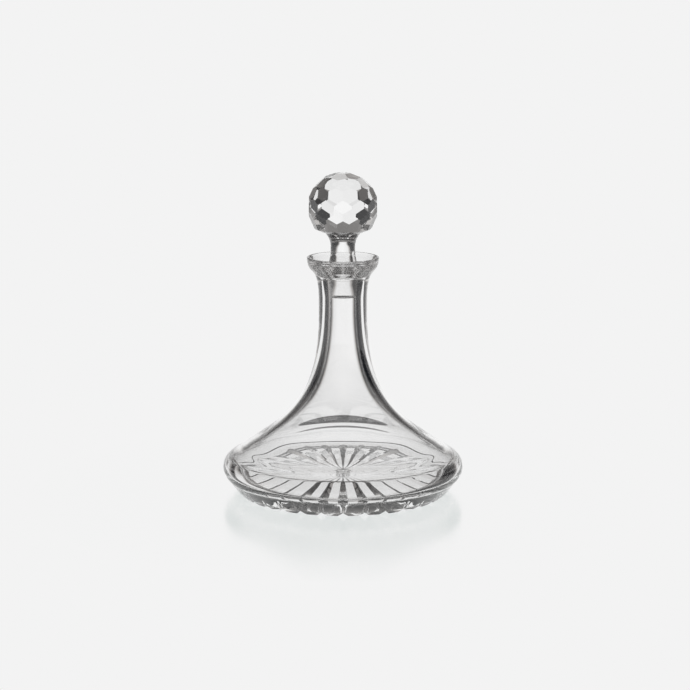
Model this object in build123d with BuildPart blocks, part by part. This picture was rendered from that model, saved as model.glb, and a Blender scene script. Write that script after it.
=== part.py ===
"""Ship's decanter in cut crystal: a broad, flat-bottomed bottle and its ball stopper.

Millimetres, +Z up. The origin is on the table, in the middle of the foot, and both
pieces are turned about Z before they are cut.
"""
import os
from math import cos, radians, sin, tan

from build123d import *

# ---- bottle, outside ----
belly_radius = 94.6         # widest point of the bottle
belly_height = 19.4         # height of the widest point
belly_round = 10.4          # rounding of the belly, seen in section
wall_lean = 38.0            # lower wall from the vertical, degrees
shoulder_lean = 56.0        # shoulder from the vertical, degrees
shoulder_top = 41.9         # height where the straight shoulder begins to sweep up
neck_radius = 18.8
neck_base = 143.0           # the sweep from the shoulder ends here
neck_top = 150.3            # the flare of the lip starts here
sweep_low = 35.4            # pull of the shoulder on the sweep
sweep_high = 65.2           # pull of the neck on the sweep
lip_radius = 28.0
lip_height = 186.0
lip_lean = 2.7              # flare of the lip at its edge, degrees
lip_wall = 1.9              # glass at the rim, fully rounded
flare_low = 32.5
flare_high = 15.7

# ---- bottle, inside ----
base_thickness = 12.4       # heavy base, at its middle
floor_fall = 1.0            # the inner floor falls by this much to its edge
floor_slope = 0.7           # fall at its edge, degrees
belly_wall = 7.8            # glass at the widest point
cavity_round = 6.7          # rounding between the inner floor and the shoulder
cavity_lean = 56.4          # inner shoulder from the vertical, degrees
cavity_top = 31.4           # height where the inner shoulder begins to sweep up
cavity_sweep_low = 53.7
cavity_sweep_high = 73.2
throat_radius = 10.4        # narrowest bore, below the ground mouth
throat_drop = 2.0           # the cavity begins this far below the ground mouth

# ---- ground joint ----
joint_taper = 1 / 20        # radius gained per millimetre of height
joint_bottom = 154.0
joint_top = 171.0
joint_clearance = 0.08      # between peg and mouth, all round
funnel_slope = 63.0         # inner lip above the horizontal at the rim, degrees
funnel_high = 4.0
funnel_low = 3.0

# ---- foot and star cut ----
foot_bevel = 3.4            # width and height of the bevelled edge under the wall
foot_land = 5.0             # flat ring that touches the table
punt = 2.0                  # rise of the underside at its middle
star_points = 32
star_depth = 3.0            # groove depth at the edge of the foot
star_angle = 104.0          # included angle of the cutting wheel, degrees
star_eye = 4.0              # small round hollow where the grooves meet
star_start = 0.15           # groove depth at the eye
eye_skin = 0.05             # the eye's cut starts this far below the hollow's top
wheel_overrun = 5.0         # the cutting wheel runs out past the glass

# ---- stopper ----
ball_flat = 26.3            # centre of the ball to each facet
ball_rise = 38.9            # ball centre above the rim of the bottle
ball_blank = 29.5           # round blank that the facets are cut on
blank_edge = -32.0          # latitude where the blank turns in to the stem, degrees
facet_rows = ((-23, 12), (1, 12), (24, 12), (47, 12), (68, 6), (90, 1))  # latitude, facets
facet_turn = 15.0           # turn of the lowest row, degrees
spread_radius = 13.8        # stem where it meets the ball
spread_drop = 20.3          # that place, below the centre of the ball
spread_tuck = (1.5, 2.0)    # pull of the ball on the stem, inward and down
waist_radius = 9.6
waist_low = 3.0             # waist, above the rim of the bottle
waist_high = 8.0
waist_pull = 6.0            # pull of the waist on the spread under the ball
collar_radius = 10.6
collar_drop = 3.2           # collar below the rim of the bottle
peg_gap = 1.2               # peg ends this far above the bottom of the ground mouth
peg_chamfer = 0.8

os.makedirs("parts", exist_ok=True)


def joint_radius(height):
    """Radius of the ground mouth at a height."""
    return throat_radius + (height - joint_bottom) * joint_taper


def lean(angle):
    """Unit direction, up and inward, of a wall that leans from the vertical."""
    return -sin(radians(angle)), cos(radians(angle))


def out(angle):
    """Unit direction, outward, at an angle above the horizontal."""
    return cos(radians(angle)), sin(radians(angle))


def step(start, direction, length):
    """Point at a length along a direction from a start, in section."""
    return start[0] + direction[0] * length, start[1] + direction[1] * length


# ---- section of the bottle, (radius, height) ----
belly = (belly_radius - belly_round, belly_height)
belly_low = step(belly, out(-wall_lean), belly_round)
belly_high = step(belly, out(shoulder_lean), belly_round)
arris = (belly_low[0] - (belly_low[1] - foot_bevel) * tan(radians(wall_lean)), foot_bevel)
foot_radius = arris[0] - foot_bevel
land_radius = foot_radius - foot_land
shoulder_end = (belly_high[0] - (shoulder_top - belly_high[1]) * tan(radians(shoulder_lean)),
                shoulder_top)
lip_edge = (lip_radius, lip_height - lip_wall / 2)
mouth_edge = (lip_radius - lip_wall, lip_height - lip_wall / 2)
lip_way = (sin(radians(lip_lean)), cos(radians(lip_lean)))

throat_height = joint_bottom - throat_drop
throat = (throat_radius, throat_height)
floor_height = punt + base_thickness
cavity_radius = belly_radius - belly_wall
cavity = (cavity_radius - cavity_round, floor_height - floor_fall + cavity_round)
cavity_high = step(cavity, out(cavity_lean), cavity_round)
cavity_end = (cavity_high[0] - (cavity_top - cavity_high[1]) * tan(radians(cavity_lean)),
              cavity_top)
floor_edge = step(cavity, out(-90 - floor_slope), cavity_round)
floor_pull = cavity[0] / 3

# ---- one V groove of the star: it deepens from the eye out through the bevel ----
overrun = arris[0] + wheel_overrun


def along_groove(radius, at_eye, at_foot):
    """Height at a radius, on the straight line from the eye to the edge of the foot."""
    return at_eye + (at_foot - at_eye) * (radius - star_eye) / (land_radius - star_eye)


groove_ends = [(radius,
                along_groove(radius, punt + star_start, star_depth),
                along_groove(radius, punt - star_start, -star_start))
               for radius in (star_eye, overrun)]

with BuildPart() as groove:
    for radius, root, mouth in groove_ends:
        with BuildSketch(Plane(origin=(radius, 0, 0), x_dir=(0, 1, 0), z_dir=(1, 0, 0))):
            with BuildLine():
                half = (root - mouth) * tan(radians(star_angle / 2))
                Polyline((0, root), (half, mouth), (-half, mouth), close=True)
            make_face()
    loft()

with BuildPart() as decanter_body:
    with BuildSketch(Plane.XZ) as bottle_section:
        with BuildLine():
            # underside: shallow hollow, flat land, bevel
            ThreePointArc((0, punt), (land_radius / 2, punt * 0.75), (land_radius, 0))
            Polyline((land_radius, 0), (foot_radius, 0), arris, belly_low)
            # belly, shoulder and the sweep up into the neck
            ThreePointArc(belly_low, (belly_radius, belly_height), belly_high)
            Line(belly_high, shoulder_end)
            Bezier(shoulder_end, step(shoulder_end, lean(shoulder_lean), sweep_low),
                   (neck_radius, neck_base - sweep_high), (neck_radius, neck_base))
            Line((neck_radius, neck_base), (neck_radius, neck_top))
            # lip
            Bezier((neck_radius, neck_top), (neck_radius, neck_top + flare_low),
                   step(lip_edge, lip_way, -flare_high), lip_edge)
            ThreePointArc(lip_edge, (lip_radius - lip_wall / 2, lip_height), mouth_edge)
            # funnel, ground mouth and throat
            Bezier(mouth_edge, step(mouth_edge, out(funnel_slope), -funnel_high),
                   (joint_radius(joint_top), joint_top + funnel_low),
                   (joint_radius(joint_top), joint_top))
            Polyline((joint_radius(joint_top), joint_top), (throat_radius, joint_bottom), throat)
            # cavity
            Bezier(throat, (throat[0], throat[1] - cavity_sweep_high),
                   step(cavity_end, lean(cavity_lean), cavity_sweep_low), cavity_end)
            Line(cavity_end, cavity_high)
            ThreePointArc(cavity_high, step(cavity, out(0), cavity_round), floor_edge)
            Bezier(floor_edge, step(floor_edge, out(-floor_slope), -floor_pull),
                   (floor_pull, floor_height), (0, floor_height))
            Line((0, floor_height), (0, punt))
        make_face()
    revolve(axis=Axis.Z)

    # star cut, and the eye where its grooves meet
    with PolarLocations(0, star_points):
        add(groove.part, mode=Mode.SUBTRACT)
    with Locations((0, 0, punt - eye_skin)):
        Cone(star_eye, 0, star_start * 2 + eye_skin,
             align=(Align.CENTER, Align.CENTER, Align.MIN), mode=Mode.SUBTRACT)

decanter_body.part.label = "decanter_body"
export_step(decanter_body.part, "parts/decanter_body.step")

# ---- section of the stopper ----
ball_height = lip_height + ball_rise
spread = (spread_radius, ball_height - spread_drop)
blank_low = step((0, ball_height), out(blank_edge), ball_blank)
waist_bottom = (waist_radius, lip_height + waist_low)
waist_end = (waist_radius, lip_height + waist_high)
peg_top = (joint_radius(joint_top) - joint_clearance, joint_top)
peg_bottom = joint_bottom + peg_gap
peg_edge = (joint_radius(peg_bottom) - joint_clearance, peg_bottom + peg_chamfer)


def facet_plane(latitude, turn):
    """Plane of one facet, on the outside of the ball."""
    away = Vector(1, 0, 0).rotate(Axis.Y, -latitude).rotate(Axis.Z, turn)
    return Plane(origin=Vector(0, 0, ball_height) + away * ball_flat, z_dir=away)


facets = []
for row, (latitude, count) in enumerate(facet_rows):
    for number in range(count):
        facets.append(facet_plane(latitude, (number + row / 2) * 360 / count + facet_turn))

with BuildPart() as head:
    with BuildSketch(Plane.XZ):
        with BuildLine():
            Polyline((0, ball_height + ball_blank), (0, spread[1]), spread, blank_low)
            ThreePointArc(blank_low, (ball_blank, ball_height), (0, ball_height + ball_blank))
        make_face()
    revolve(axis=Axis.Z)
    for facet in facets:
        split(bisect_by=facet, keep=Keep.BOTTOM)

with BuildPart() as stopper:
    with BuildSketch(Plane.XZ):
        with BuildLine():
            Polyline(spread, (0, spread[1]), (0, peg_bottom),
                     (peg_edge[0] - peg_chamfer, peg_bottom), peg_edge, peg_top)
            Spline(peg_top, (collar_radius, lip_height - collar_drop), waist_bottom,
                   tangents=((0, 1), (0, 1)))
            Line(waist_bottom, waist_end)
            Bezier(waist_end, (waist_radius, waist_end[1] + waist_pull),
                   (spread[0] - spread_tuck[0], spread[1] - spread_tuck[1]), spread)
        make_face()
    revolve(axis=Axis.Z)
    add(head.part)

stopper.part.label = "stopper"
export_step(stopper.part, "parts/stopper.step")
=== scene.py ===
"""Ship's decanter in cut crystal: its bottle and stopper as fine meshes, their glass, the
table that they stand on, the light and the camera.

Sections are (radius, height) points in millimetres about the bottle's axis. They are the
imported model's own, but for two slow swells inside the bottle. A mesh is turned to metres
when its piece is made.
"""

import math

import bmesh
import bpy
from mathutils import Euler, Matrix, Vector


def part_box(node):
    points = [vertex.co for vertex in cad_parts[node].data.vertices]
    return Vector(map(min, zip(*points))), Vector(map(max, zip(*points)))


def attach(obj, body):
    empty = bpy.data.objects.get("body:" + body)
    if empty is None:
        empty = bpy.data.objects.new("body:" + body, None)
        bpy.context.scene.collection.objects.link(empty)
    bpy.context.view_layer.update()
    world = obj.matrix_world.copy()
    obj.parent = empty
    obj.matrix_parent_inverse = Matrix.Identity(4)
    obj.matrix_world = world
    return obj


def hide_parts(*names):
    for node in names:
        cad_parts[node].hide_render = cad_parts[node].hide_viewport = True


MM = 0.001

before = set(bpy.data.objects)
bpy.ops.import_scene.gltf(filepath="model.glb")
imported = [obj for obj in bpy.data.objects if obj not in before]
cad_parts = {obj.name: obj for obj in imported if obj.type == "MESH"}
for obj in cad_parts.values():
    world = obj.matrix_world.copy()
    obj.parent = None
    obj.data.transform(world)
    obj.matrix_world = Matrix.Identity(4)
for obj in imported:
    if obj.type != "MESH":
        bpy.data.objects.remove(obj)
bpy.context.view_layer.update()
bottle_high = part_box("decanter_body")[1] / MM
stopper_low, stopper_high = (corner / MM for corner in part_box("stopper"))


# ---- drawing a section ----

def out(angle):
    """Unit direction, outward, at an angle in degrees above the horizontal."""
    return Vector((math.cos(math.radians(angle)), math.sin(math.radians(angle))))


def up_in(angle):
    """Unit direction, up and inward, of a wall that leans by an angle from the vertical."""
    return Vector((-math.sin(math.radians(angle)), math.cos(math.radians(angle))))


def up(length):
    """Straight up by a length."""
    return Vector((0, length))


def run(a, b, count=1):
    """Points along a straight line, without its first point."""
    return [a.lerp(b, i / count) for i in range(1, count + 1)]


def arc(middle, radius, start, end, count):
    """Points on an arc between two angles in degrees, without its first point."""
    return [middle + out(start + (end - start) * i / count) * radius
            for i in range(1, count + 1)]


def sweep(a, b, c, d, count):
    """Points on a cubic curve with four control points, without its first point."""
    points = []
    for i in range(1, count + 1):
        t = i / count
        s = 1 - t
        points.append(a * s**3 + b * 3 * s * s * t + c * 3 * s * t * t + d * t**3)
    return points


# ---- the bottle's outside, from the foot up to the rim ----

belly_radius = bottle_high.x    # widest point
belly_height = 19.4
belly_round = 10.4              # rounding of the belly
wall_lean = 38.0                # lower wall from the vertical, degrees
shoulder_lean = 56.0            # shoulder from the vertical, degrees
shoulder_top = 41.9             # the straight shoulder ends here
sweep_low = 35.4                # pull of the shoulder on the sweep up into the neck
sweep_high = 65.2               # pull of the neck on that sweep
neck_radius = 18.8
neck_base = 143.0               # the sweep ends here
neck_top = 150.3                # the flare of the lip starts here
flare_low = 32.5                # pull of the neck on the flare
flare_high = 15.7               # pull of the rim on the flare
lip_radius = 28.0
lip_height = bottle_high.z
lip_wall = 1.9                  # glass at the rim, fully rounded
lip_lean = 2.7                  # flare at the rim, degrees
foot_bevel = 3.4                # width and height of the bevel under the lower wall
foot_land = 5.0                 # flat ring that touches the table

belly = Vector((belly_radius - belly_round, belly_height))
belly_low = belly + out(-wall_lean) * belly_round
belly_high = belly + out(shoulder_lean) * belly_round
wall_in = (belly_low.y - foot_bevel) * math.tan(math.radians(wall_lean))
arris = Vector((belly_low.x - wall_in, foot_bevel))
foot_radius = arris.x - foot_bevel
land_radius = foot_radius - foot_land
shoulder_in = (shoulder_top - belly_high.y) * math.tan(math.radians(shoulder_lean))
shoulder_end = Vector((belly_high.x - shoulder_in, shoulder_top))
neck_foot = Vector((neck_radius, neck_base))
neck_head = Vector((neck_radius, neck_top))
lip_edge = Vector((lip_radius, lip_height - lip_wall / 2))
lip_middle = lip_edge - Vector((lip_wall / 2, 0))
mouth_edge = lip_edge - Vector((lip_wall, 0))

outside = run(arris, belly_low)
outside += arc(belly, belly_round, -wall_lean, shoulder_lean, count=30)
outside += run(belly_high, shoulder_end, count=2)
outside += sweep(shoulder_end, shoulder_end + up_in(shoulder_lean) * sweep_low,
                 neck_foot - up(sweep_high), neck_foot, count=50)
outside += run(neck_foot, neck_head)
outside += sweep(neck_head, neck_head + up(flare_low),
                 lip_edge - up_in(-lip_lean) * flare_high, lip_edge, count=24)
outside += arc(lip_middle, lip_wall / 2, 0, 180, count=8)

# ---- the bottle's inside, from the rim down to the middle of the floor ----

funnel_slope = 63.0             # inner lip above the horizontal at the rim, degrees
funnel_high = 4.0               # pull of the rim on the funnel
funnel_low = 3.0                # pull of the ground mouth on the funnel
joint_top = 171.0
joint_bottom = 154.0
joint_taper = 1 / 20            # radius gained per millimetre of height
joint_clearance = 0.08          # between peg and mouth, all round
throat_radius = 10.4            # narrowest bore, below the ground mouth
throat_height = 152.0
cavity_sweep_high = 73.2        # pull of the throat on the sweep down to the shoulder
cavity_sweep_low = 53.7         # pull of the inner shoulder on that sweep
cavity_top = 31.4               # the sweep ends here
cavity_lean = 56.4              # inner shoulder from the vertical, degrees
cavity_radius = 86.8
cavity_round = 6.7              # rounding between the inner shoulder and the floor
floor_slope = 0.7               # fall of the floor at its edge, degrees
floor_fall = 1.0                # the floor falls by this much from its middle to its edge
base_thickness = 12.4           # at the middle
punt = 2.0                      # rise of the underside at its middle
# slow swells that blowing leaves in the inner wall: place as a radius, half width, and
# depth, which is positive where the glass is thinner
swells = ((53.5, 5.7, 0.22), (76.6, 2.0, -0.18))


def joint_radius(height):
    """Radius of the ground mouth at a height."""
    return throat_radius + (height - joint_bottom) * joint_taper


def swell(points):
    """The same inner wall with its swells, each point moved square to the wall."""
    moved = []
    for before, point, after in zip(points[:1] + points, points, points[1:] + points[-1:]):
        along = (after - before).normalized()
        depth = sum(deep * math.exp(-((point.x - place) / width) ** 2 / 2)
                    for place, width, deep in swells)
        moved.append(point + Vector((-along.y, along.x)) * depth)
    return moved


ground_top = Vector((joint_radius(joint_top), joint_top))
ground_bottom = Vector((throat_radius, joint_bottom))
throat = Vector((throat_radius, throat_height))
floor_height = punt + base_thickness
floor_middle = Vector((0, floor_height))
cavity = Vector((cavity_radius - cavity_round, floor_height - floor_fall + cavity_round))
cavity_high = cavity + out(cavity_lean) * cavity_round
cavity_in = (cavity_top - cavity_high.y) * math.tan(math.radians(cavity_lean))
cavity_end = Vector((cavity_high.x - cavity_in, cavity_top))
floor_edge = cavity + out(-90 - floor_slope) * cavity_round
floor_pull = cavity.x / 3

inner_wall = sweep(throat, throat - up(cavity_sweep_high),
                   cavity_end + up_in(cavity_lean) * cavity_sweep_low, cavity_end, count=88)
inner_wall += run(cavity_end, cavity_high, count=10)

inside = sweep(mouth_edge, mouth_edge - out(funnel_slope) * funnel_high,
               ground_top + up(funnel_low), ground_top, count=14)
inside += run(ground_top, ground_bottom)
inside += run(ground_bottom, throat)
inside += swell(inner_wall)
inside += arc(cavity, cavity_round, cavity_lean, -90 - floor_slope, count=18)
inside += sweep(floor_edge, floor_edge - out(-floor_slope) * floor_pull,
                Vector((floor_pull, floor_height)), floor_middle, count=14)

# ---- the star under the foot: V grooves from a small eye out through the bevel ----

star_points = 32
star_depth = 3.0                # groove depth at the edge of the foot
star_angle = 104.0              # included angle of the cutting wheel, degrees
star_eye = 4.0                  # small round hollow where the grooves meet
star_start = 0.15               # groove depth at the eye
flank_steps = 3                 # steps across half a groove
land_steps = 2                  # steps across half of the glass left between two grooves
eye_rings = (0.5, 1.2, 2.0, 2.8)    # radii
groove_rings = 24
land_rings = 3
bevel_rings = 6

flank_slope = 1 / math.tan(math.radians(star_angle / 2))
pitch = 2 * math.pi / star_points
hollow_radius = (land_radius**2 + punt**2) / (2 * punt)


def underside(radius):
    """Height of the uncut underside: a shallow hollow, a flat land and the bevel."""
    if radius < land_radius:
        return punt - hollow_radius + math.sqrt(hollow_radius**2 - radius**2)
    return max(0.0, radius - foot_radius)


def groove_root(radius):
    """Height of a groove's root, on a straight line from the eye to the edge of the foot."""
    start = punt + star_start
    return start + (star_depth - start) * (radius - star_eye) / (land_radius - star_eye)


def groove_turns(radius):
    """(Angle, height) of the points on a ring, from one groove's root to the next one's."""
    root, uncut = groove_root(radius), underside(radius)
    half_pitch = radius * math.sin(pitch / 2)
    if root > uncut:
        edge = math.asin(min((root - uncut) / flank_slope, half_pitch) / radius)
    else:
        edge = pitch / 2 * flank_steps / (flank_steps + land_steps)
    angles = [edge * i / flank_steps for i in range(flank_steps)]
    angles += [edge + (pitch / 2 - edge) * i / land_steps for i in range(land_steps + 1)]
    half = [(a, max(uncut, root - radius * math.sin(a) * flank_slope)) for a in angles]
    return half + [(pitch - a, z) for a, z in reversed(half[1:-1])]


def even_turns(height):
    """(Angle, height) of as many points on a plain, level ring."""
    count = 2 * (flank_steps + land_steps)
    return [(pitch * i / count, height) for i in range(count)]


def eye_height(radius):
    """Height of the shallow cone in the star's eye."""
    return groove_root(star_eye) + star_start * (1 - radius / star_eye)


# ---- making a piece ----

def add_ring(mesh, radius, turns):
    """One ring of points round the axis, the same ones for every groove of the star."""
    ring = []
    for point in range(star_points):
        for angle, height in turns:
            a = point * pitch + angle
            ring.append(mesh.verts.new((radius * math.cos(a), radius * math.sin(a), height)))
    return ring


def skin(mesh, a, b):
    """Faces between two rings of as many points."""
    for i in range(len(a)):
        j = (i + 1) % len(a)
        mesh.faces.new((a[i], a[j], b[j], b[i]))


def close(mesh, ring, height, turned=False):
    """A fan of faces from a ring to a point on the axis."""
    tip = mesh.verts.new((0, 0, height))
    for i in range(len(ring)):
        pair = (ring[i], ring[(i + 1) % len(ring)])
        mesh.faces.new((tip, *(pair if turned else reversed(pair))))


def piece(name, mesh, sharp):
    """An object in metres, smooth but for edges sharper than an angle in degrees."""
    bmesh.ops.recalc_face_normals(mesh, faces=mesh.faces[:])
    bmesh.ops.scale(mesh, vec=(MM, MM, MM), verts=mesh.verts[:])
    data = bpy.data.meshes.new(name)
    mesh.to_mesh(data)
    mesh.free()
    for face in data.polygons:
        face.use_smooth = True
    data.set_sharp_from_angle(angle=math.radians(sharp))
    made = bpy.data.objects.new(name, data)
    bpy.context.scene.collection.objects.link(made)
    return made


def make_bottle():
    """The bottle: star-cut underside, outside, rim and inside as one closed skin."""
    mesh = bmesh.new()
    radii = [star_eye]
    radii += [star_eye + (land_radius - star_eye) * i / groove_rings
              for i in range(1, groove_rings + 1)]
    radii += [land_radius + (foot_radius - land_radius) * i / land_rings
              for i in range(1, land_rings + 1)]
    radii += [foot_radius + foot_bevel * i / bevel_rings for i in range(1, bevel_rings)]
    rings = [add_ring(mesh, radius, even_turns(eye_height(radius))) for radius in eye_rings]
    rings += [add_ring(mesh, radius, groove_turns(radius)) for radius in radii]
    rings += [add_ring(mesh, point.x, even_turns(point.y))
              for point in [arris] + outside + inside[:-1]]
    for a, b in zip(rings[:-1], rings[1:]):
        skin(mesh, a, b)
    close(mesh, rings[0], eye_height(0))
    close(mesh, rings[-1], floor_height, turned=True)
    return piece("bottle_glass", mesh, sharp=12)


# ---- the stopper ----

ball_rise = 38.9                # centre of the ball above the rim of the bottle
ball_blank = 29.5               # round blank that the facets are cut on
blank_edge = -32.0              # latitude where the blank turns in to the stem, degrees
blank_cap = 84.0                # latitude of its last ring, which the top facet takes off
facet_rows = ((-23, 12), (1, 12), (24, 12), (47, 12), (68, 6), (90, 1))  # latitude, facets
facet_turn = 15.0               # turn of the lowest row, degrees
spread_radius = 13.8            # stem where it meets the ball
spread_drop = 20.3              # that place, below the centre of the ball
spread_tuck = Vector((1.5, 2.0))    # pull of the ball on the stem, inward and down
waist_radius = 9.6
waist_low = 3.0                 # waist, above the rim of the bottle
waist_high = 8.0
waist_pull = 6.0                # pull of the waist on the spread under the ball
waist_under = 2.6               # pull of the waist on the collar
collar_radius = 10.6
collar_drop = 3.2               # collar below the rim of the bottle
collar_above = Vector((-0.25, 2.4))     # pull of the collar on the glass above it
collar_below = Vector((-0.25, 4.0))     # pull of the collar on the glass below it
peg_pull = 4.0                  # pull of the peg on the collar
peg_chamfer = 0.8
stopper_turns = 256             # points on a ring
stem_margin = 0.01              # only glass that reaches this far above the stem is cut

ball = Vector((0, lip_height + ball_rise))
ball_flat = stopper_high.z - ball.y     # centre of the ball to each facet
spread = Vector((spread_radius, ball.y - spread_drop))
waist_end = Vector((waist_radius, lip_height + waist_high))
waist_bottom = Vector((waist_radius, lip_height + waist_low))
collar = Vector((collar_radius, lip_height - collar_drop))
peg_top = ground_top - Vector((joint_clearance, 0))
peg_bottom = stopper_low.z
peg_edge = Vector((joint_radius(peg_bottom) - joint_clearance, peg_bottom + peg_chamfer))


def make_stopper():
    """The stopper: a turned blank whose ball is then ground flat in rows of facets."""
    section = [Vector((peg_edge.x - peg_chamfer, peg_bottom)), peg_edge]
    section += run(peg_edge, peg_top, count=2)
    section += sweep(peg_top, peg_top + up(peg_pull), collar - collar_below, collar, count=10)
    section += sweep(collar, collar + collar_above, waist_bottom - up(waist_under),
                     waist_bottom, count=10)
    section += run(waist_bottom, waist_end, count=2)
    section += sweep(waist_end, waist_end + up(waist_pull), spread - spread_tuck, spread,
                     count=14)
    section += run(spread, ball + out(blank_edge) * ball_blank, count=3)
    section += arc(ball, ball_blank, blank_edge, blank_cap, count=30)
    mesh = bmesh.new()
    rings = []
    for point in section:
        rings.append([])
        for i in range(stopper_turns):
            a = 2 * math.pi * i / stopper_turns
            place = (point.x * math.cos(a), point.x * math.sin(a), point.y)
            rings[-1].append(mesh.verts.new(place))
    for a, b in zip(rings[:-1], rings[1:]):
        skin(mesh, a, b)
    close(mesh, rings[0], peg_bottom)
    close(mesh, rings[-1], ball.y + ball_blank, turned=True)
    centre = Vector((0, 0, ball.y))
    for row, (latitude, count) in enumerate(facet_rows):
        for number in range(count):
            turn = math.radians((number + row / 2) * 360 / count + facet_turn)
            away = Euler((0, -math.radians(latitude), turn)).to_matrix() @ Vector((1, 0, 0))
            above_stem = {v for v in mesh.verts if v.co.z > spread.y + stem_margin}
            faces = [f for f in mesh.faces if any(v in above_stem for v in f.verts)]
            edges = list({e for f in faces for e in f.edges})
            verts = list({v for f in faces for v in f.verts})
            cut = bmesh.ops.bisect_plane(mesh, geom=verts + edges + faces, dist=1e-6,
                                         plane_co=centre + away * ball_flat, plane_no=away,
                                         clear_outer=True)
            rim = [e for e in cut["geom_cut"] if isinstance(e, bmesh.types.BMEdge)]
            bmesh.ops.edgeloop_fill(mesh, edges=rim)
    return piece("stopper_glass", mesh, sharp=6)


# ---- materials ----

def linear(colour):
    """Scene colour from an sRGB hex string."""
    values = [int(colour[i:i + 2], 16) / 255 for i in (1, 3, 5)]
    return [v / 12.92 if v <= 0.04045 else ((v + 0.055) / 1.055) ** 2.4
            for v in values] + [1.0]


def add_node(tree, kind, inputs, stops=(), **settings):
    """One node with its settings.

    An input is a value, or the node or socket that it links to. Stops are a ramp's
    (place, colour) pairs, the first at 0 and the last at 1.
    """
    node = tree.nodes.new(kind)
    for name, value in settings.items():
        setattr(node, name, value)
    for key, value in inputs.items():
        if isinstance(value, bpy.types.Node):
            value = value.outputs[0]
        if isinstance(value, bpy.types.NodeSocket):
            tree.links.new(value, node.inputs[key])
        else:
            node.inputs[key].default_value = value
    for number, (place, colour) in enumerate(stops):
        elements = node.color_ramp.elements
        if 0 < number < len(stops) - 1:
            elements.new(place)
        elements[number].color = colour
    return node


def new_material(name):
    """An empty material, and its nodes."""
    material = bpy.data.materials.new(name)
    material.use_nodes = True
    material.node_tree.nodes.clear()
    return material, material.node_tree


def crystal(name, ripple_length, ripple_strength, haze_size, haze_roughness):
    """Lead crystal, clear all through, with a faint ripple and a trace of haze in its skin.

    Lengths are in millimetres. Crystal with 24 percent of lead has an index of 1.545.
    """
    material, glass = new_material(name)
    place = add_node(glass, "ShaderNodeTexCoord", {})
    haze = add_node(glass, "ShaderNodeTexNoise", {
        "Vector": place.outputs["Object"], "Scale": 1 / (haze_size * MM), "Detail": 3.0})
    # no haze where the noise is under 0.35, and the most from 0.75 up
    rough = add_node(glass, "ShaderNodeMapRange", {
        "Value": haze, "From Min": 0.35, "From Max": 0.75, "To Max": haze_roughness})
    wave = add_node(glass, "ShaderNodeTexNoise", {
        "Vector": place.outputs["Object"], "Scale": 1 / (ripple_length * MM), "Detail": 1.0})
    ripple = add_node(glass, "ShaderNodeBump", {
        "Height": wave, "Strength": ripple_strength, "Distance": 0.1 * MM})
    clear = add_node(glass, "ShaderNodeBsdfPrincipled", {
        "Base Color": linear("#ffffff"), "IOR": 1.545, "Transmission Weight": 1.0,
        "Roughness": rough, "Normal": ripple})
    add_node(glass, "ShaderNodeOutputMaterial", {"Surface": clear})
    return material


# lead crystal blown and fire-polished: it looks like still water, and a ripple 30 mm long,
# left as the hot glass sank, makes the lines seen through it waver a little
fire_polished = crystal("fire_polished_lead_crystal", ripple_length=30.0,
                        ripple_strength=0.05, haze_size=9.0, haze_roughness=0.006)
# lead crystal cut on a stone wheel and acid-polished: flat, bright facets, each with a
# breath of haze. The wheel's own marks are far finer, and are drawn 2.5 mm across so that
# they show
cut_polished = crystal("wheel_cut_polished_lead_crystal", ripple_length=8.0,
                       ripple_strength=0.04, haze_size=2.5, haze_roughness=0.02)

bottle = make_bottle()
bottle.data.materials.append(fire_polished)
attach(bottle, "bottle")
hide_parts("decanter_body")

stopper = make_stopper()
stopper.data.materials.append(cut_polished)
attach(stopper, "stopper")
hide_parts("stopper")

# ---- the table ----

backdrop = linear("#f3f3f3")    # what the camera sees of the table and of the room
lacquer = linear("#857c7e")     # share of the light that the lacquer reflects
screen_light = 0.93             # what it reflects of the screen, where no glass is in the way
polished_out = 130.0            # the lacquer is polished out to here
matt_from = 250.0               # and matt from here on
table_radius = 30000.0

floor_mesh = bmesh.new()
bmesh.ops.create_circle(floor_mesh, cap_ends=True, segments=96, radius=table_radius)
floor = piece("table_top", floor_mesh, sharp=30)
floor.location.z = -0.1 * MM    # just clear of the foot's land
# light that has come through the glass meets the table's brightness in the world instead
floor.visible_transmission = False

# white board, sprayed with lacquer and lit evenly from below: there is no shadow, and a
# soft, cool reflection of the bottle lies in the lacquer round its foot
table_top, board = new_material("backlit_white_lacquered_board")
from_below = [whole - share * screen_light for whole, share in zip(backdrop[:3], lacquer)]
lit = add_node(board, "ShaderNodeEmission", {"Color": (*from_below, 1)})
shine = add_node(board, "ShaderNodeBsdfGlossy", {"Color": lacquer, "Roughness": 0.17})
polished = add_node(board, "ShaderNodeAddShader", {0: lit, 1: shine})
matt = add_node(board, "ShaderNodeEmission", {"Color": backdrop})
place = add_node(board, "ShaderNodeTexCoord", {})
distance = add_node(board, "ShaderNodeVectorMath", {0: place.outputs["Object"]},
                    operation="LENGTH")
dull = add_node(board, "ShaderNodeMapRange", {
    "Value": distance.outputs["Value"], "From Min": polished_out * MM,
    "From Max": matt_from * MM})
coat = add_node(board, "ShaderNodeMixShader", {0: dull, 1: polished, 2: matt})
add_node(board, "ShaderNodeOutputMaterial", {"Surface": coat})
floor.data.materials.append(table_top)

# ---- soft studio light ----
# A white screen stands behind the bottle between dark cards, and the pale table goes on all
# round below it. Directions are in degrees: around, from straight behind the bottle towards
# the right, and above, from the horizon.

world = bpy.data.worlds.new("studio")
bpy.context.scene.world = world
world.use_nodes = True
room = world.node_tree
room.nodes.clear()

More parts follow.
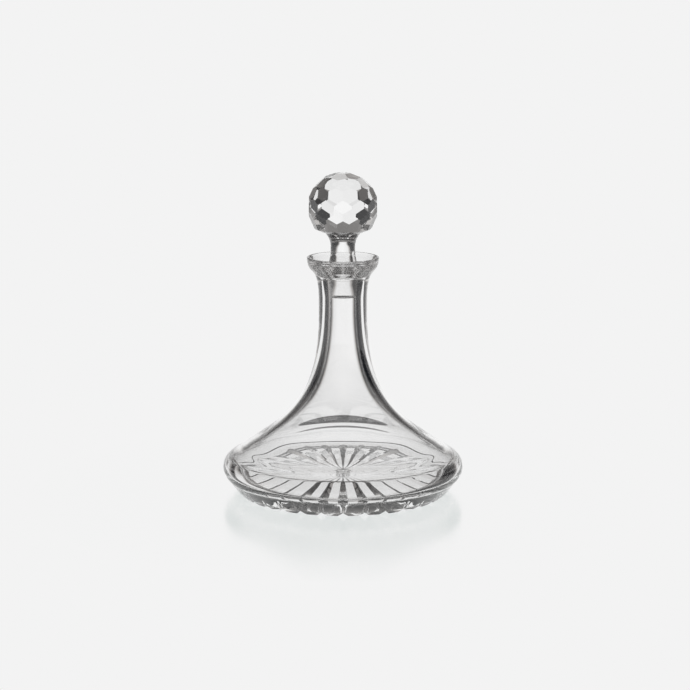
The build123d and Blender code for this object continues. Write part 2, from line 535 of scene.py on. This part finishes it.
way = add_node(room, "ShaderNodeTexCoord", {})
part = add_node(room, "ShaderNodeSeparateXYZ", {0: way.outputs["Generated"]})
around = add_node(room, "ShaderNodeMath", {0: part.outputs["X"], 1: part.outputs["Y"]},
                  operation="ARCTAN2")
around = add_node(room, "ShaderNodeMath", {0: around}, operation="DEGREES")
above = add_node(room, "ShaderNodeMath", {0: part.outputs["Z"]}, operation="ARCSINE")
above = add_node(room, "ShaderNodeMath", {0: above}, operation="DEGREES")
seen = add_node(room, "ShaderNodeLightPath", {})
through = add_node(room, "ShaderNodeMath", {0: seen.outputs["Transmission Depth"], 1: 1.0},
                   operation="MINIMUM")     # 1 for light that has come through glass

# towards the horizon and above it the screen is narrower for light that has come through
# glass, and downward the lit part of the table is wider for all light
narrow = add_node(room, "ShaderNodeMapRange", {
    "Value": above, "From Min": -9.0, "From Max": 3.0, "To Max": 0.9})
widen = add_node(room, "ShaderNodeMapRange", {
    "Value": above, "From Min": -26.0, "From Max": -44.0, "To Min": 1.0, "To Max": 0.55})
stretch = add_node(room, "ShaderNodeMath", {0: narrow, 1: through, 2: widen},
                   operation="MULTIPLY_ADD")
across = add_node(room, "ShaderNodeMath", {0: around, 1: stretch}, operation="MULTIPLY")

# brightness, or a share from 0 to 1, along one of the angles: (angle, value) stops
profiles = {
    # the screen, brightest in its middle, and the cards that darken its edges
    "screen": (across, ((-60, 0), (-31, .03), (-24, .42), (-18, .85), (0, .95), (16, .92),
                        (20, .70), (25, .30), (31, .04), (60, 0))),
    # the walls, brightest to the left and to the right in front
    "walls": (around, ((-180, .22), (-150, .20), (-118, .25), (-105, .55), (-90, .68),
                       (-77, .50), (-64, .08), (-50, .01), (50, 0), (66, .02), (84, .06),
                       (104, .14), (116, .50), (135, .70), (154, .50), (166, .24),
                       (180, .22))),
    # the table, less bright straight below and where the cards shade it
    "table": (above, ((-90, .55), (-62, .66), (-50, .78), (-38, .88), (-25, .88))),
    "shaded": (across, ((-180, .50), (-85, .50), (-50, .06), (-26, .07), (-19, 1), (19, 1),
                        (26, .05), (50, .04), (85, .50), (180, .50))),
    # the dark gap between the table and the screen
    "gap": (above, ((-20.2, 0), (-19.2, 1), (-15.3, 1), (-14.8, 0))),
    "gap_width": (around, ((-180, 0), (-13, 0), (-8, 1), (8, 1), (13, 0), (180, 0))),
    # two low screens, one to the left behind and one to the right in front, which keep the
    # glass clear when it is seen from its other sides
    "low_screens": (around, ((-180, 0), (-64, 0), (-58, .80), (-43, .80), (-38, 0), (112, 0),
                             (122, .55), (148, .55), (158, 0), (180, 0))),
    "low_heights": (above, ((-56, 0), (-46, 1), (-19, 1), (-14, 0))),
    # the dim ceiling, and how far the middle of the screen stands up in front of it
    "ceiling": (above, ((10, .08), (24, .20), (34, .04), (50, .04), (90, .08))),
    "taller": (around, ((-180, 0), (-28, 0), (-18, 1), (18, 1), (28, 0), (180, 0))),
}
profile = {}
for name, (angle, stops) in profiles.items():
    first, last = stops[0][0], stops[-1][0]
    share = add_node(room, "ShaderNodeMapRange", {
        "Value": angle, "From Min": first, "From Max": last})
    profile[name] = add_node(room, "ShaderNodeValToRGB", {0: share}, stops=[
        ((at - first) / (last - first), (value, value, value, 1)) for at, value in stops])

upright = add_node(room, "ShaderNodeMath", {0: profile["screen"], 1: profile["walls"]},
                   operation="ADD")
level = add_node(room, "ShaderNodeMath", {0: profile["table"], 1: profile["shaded"]},
                 operation="MULTIPLY")
table_end = add_node(room, "ShaderNodeMapRange", {
    "Value": above, "From Min": -30.0, "From Max": -16.0})
light = add_node(room, "ShaderNodeMix", {0: table_end, 2: level, 3: upright},
                 data_type="FLOAT")

dark_gap = add_node(room, "ShaderNodeMath", {0: profile["gap"], 1: profile["gap_width"]},
                    operation="MULTIPLY")
gap_light = 0.03
light = add_node(room, "ShaderNodeMix", {0: dark_gap, 2: light, 3: gap_light},
                 data_type="FLOAT")

low = add_node(room, "ShaderNodeMath", {0: profile["low_screens"], 1: profile["low_heights"]},
               operation="MULTIPLY")
light = add_node(room, "ShaderNodeMath", {0: light, 1: low}, operation="MAXIMUM")

# the screen and the walls fade into the ceiling from 8 to 16 degrees up, and the middle of
# the screen stands 18 degrees higher, or 4 for light that has come through glass
extra = add_node(room, "ShaderNodeMapRange", {"Value": through, "To Min": 18.0, "To Max": 4.0})
extra = add_node(room, "ShaderNodeMath", {0: profile["taller"], 1: extra},
                 operation="MULTIPLY")
rise = add_node(room, "ShaderNodeMath", {0: above, 1: extra}, operation="SUBTRACT")
rise = add_node(room, "ShaderNodeMapRange", {"Value": rise, "From Min": 8.0, "From Max": 16.0})
light = add_node(room, "ShaderNodeMix", {0: rise, 2: light, 3: profile["ceiling"]},
                 data_type="FLOAT")

# the camera itself sees a plain, pale room
light = add_node(room, "ShaderNodeMix", {
    0: seen.outputs["Is Camera Ray"], 2: light, 3: backdrop[0]}, data_type="FLOAT")

# the dark cards are blue-black, their soft edges warm, and the screen itself is neutral
tone = add_node(room, "ShaderNodeValToRGB", {0: light}, stops=[
    (0.0, linear("#0a0d12")), (0.12, linear("#636160")), (0.45, linear("#b6b3b1")),
    (0.85, linear("#ededed")), (1.0, linear("#ffffff"))])
glow = add_node(room, "ShaderNodeBackground", {"Color": tone})
add_node(room, "ShaderNodeOutputWorld", {"Surface": glow})

# ---- camera: a long lens, 1.7 m away and a little above the bottle ----

look_down = 11.024              # degrees
look_right = 0.055

camera = bpy.data.objects.new("camera", bpy.data.cameras.new("camera"))
bpy.context.scene.collection.objects.link(camera)
camera.location = (0, -1.6695, 0.441225)
camera.rotation_euler = (math.radians(90 - look_down), 0, math.radians(-look_right))
camera.data.sensor_width = 36
camera.data.lens = 113.33
camera.data.clip_end = 100
scene = bpy.context.scene
scene.camera = camera
scene.view_settings.view_transform = "Standard"
# light crosses many skins of glass on its way to the camera
scene.cycles.max_bounces = 24
scene.cycles.transmission_bounces = 24
scene.cycles.glossy_bounces = 24
